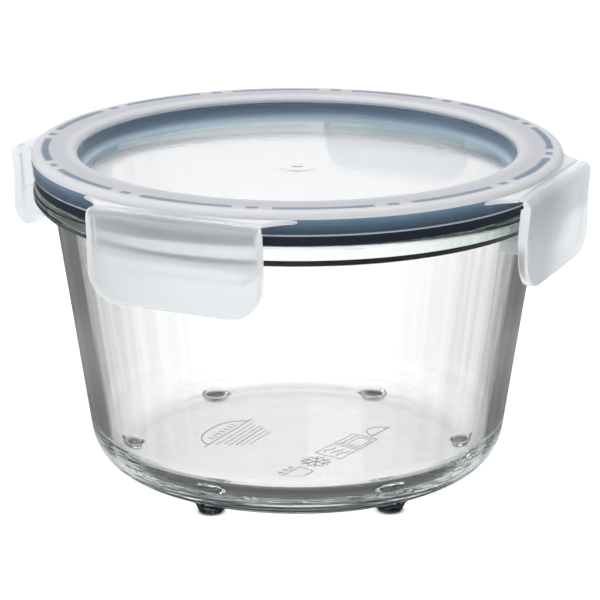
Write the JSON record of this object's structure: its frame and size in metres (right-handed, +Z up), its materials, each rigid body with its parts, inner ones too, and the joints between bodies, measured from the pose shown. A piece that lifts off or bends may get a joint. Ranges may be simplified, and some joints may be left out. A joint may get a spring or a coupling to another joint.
{
  "type": "glass food storage container",
  "caption": "Round glass food storage bowl with moulded feet and a clear clip-on plastic lid with a silicone seal and hinged snap clasps.",
  "frame": {"origin": "on the bowl's axis, at the level of the surface its feet stand on", "axes": "+Z up along the bowl's axis; the clasps face +X, +Y, -X and -Y"},
  "size_m": [0.1476, 0.1476, 0.088],
  "materials": {
    "glass": "clear, polished",
    "lid_plastic": "translucent, smooth",
    "clasp_plastic": "translucent, smooth",
    "seal": "satin silicone"
  },
  "bodies": {
    "bowl": {"glass_container": "glass"},
    "lid": {"lid": "lid_plastic", "seal_ring": "seal", "hinge_web_right": "clasp_plastic", "hinge_web_back": "clasp_plastic", "hinge_web_left": "clasp_plastic", "hinge_web_front": "clasp_plastic"},
    "clasp_right": {"clasp_right": "clasp_plastic"},
    "clasp_back": {"clasp_back": "clasp_plastic"},
    "clasp_left": {"clasp_left": "clasp_plastic"},
    "clasp_front": {"clasp_front": "clasp_plastic"}
  },
  "joints": [
    {"name": "lid_lift", "type": "slide", "parent": "bowl", "child": "lid", "axis": [0, 0, 1], "range_m": [0, 0.09]},
    {"name": "clasp_right_hinge", "type": "hinge", "parent": "lid", "child": "clasp_right", "pos_m": [0.071, 0, 0.0854], "axis": [0, -1, 0], "range_deg": [0, 115], "deforming": ["hinge_web_right"]},
    {"name": "clasp_back_hinge", "type": "hinge", "parent": "lid", "child": "clasp_back", "pos_m": [0, 0.071, 0.0854], "axis": [1, 0, 0], "range_deg": [0, 115], "deforming": ["hinge_web_back"]},
    {"name": "clasp_left_hinge", "type": "hinge", "parent": "lid", "child": "clasp_left", "pos_m": [-0.071, 0, 0.0854], "axis": [0, 1, 0], "range_deg": [0, 115], "deforming": ["hinge_web_left"]},
    {"name": "clasp_front_hinge", "type": "hinge", "parent": "lid", "child": "clasp_front", "pos_m": [0, -0.071, 0.0854], "axis": [-1, 0, 0], "range_deg": [0, 115], "deforming": ["hinge_web_front"]}
  ]
}
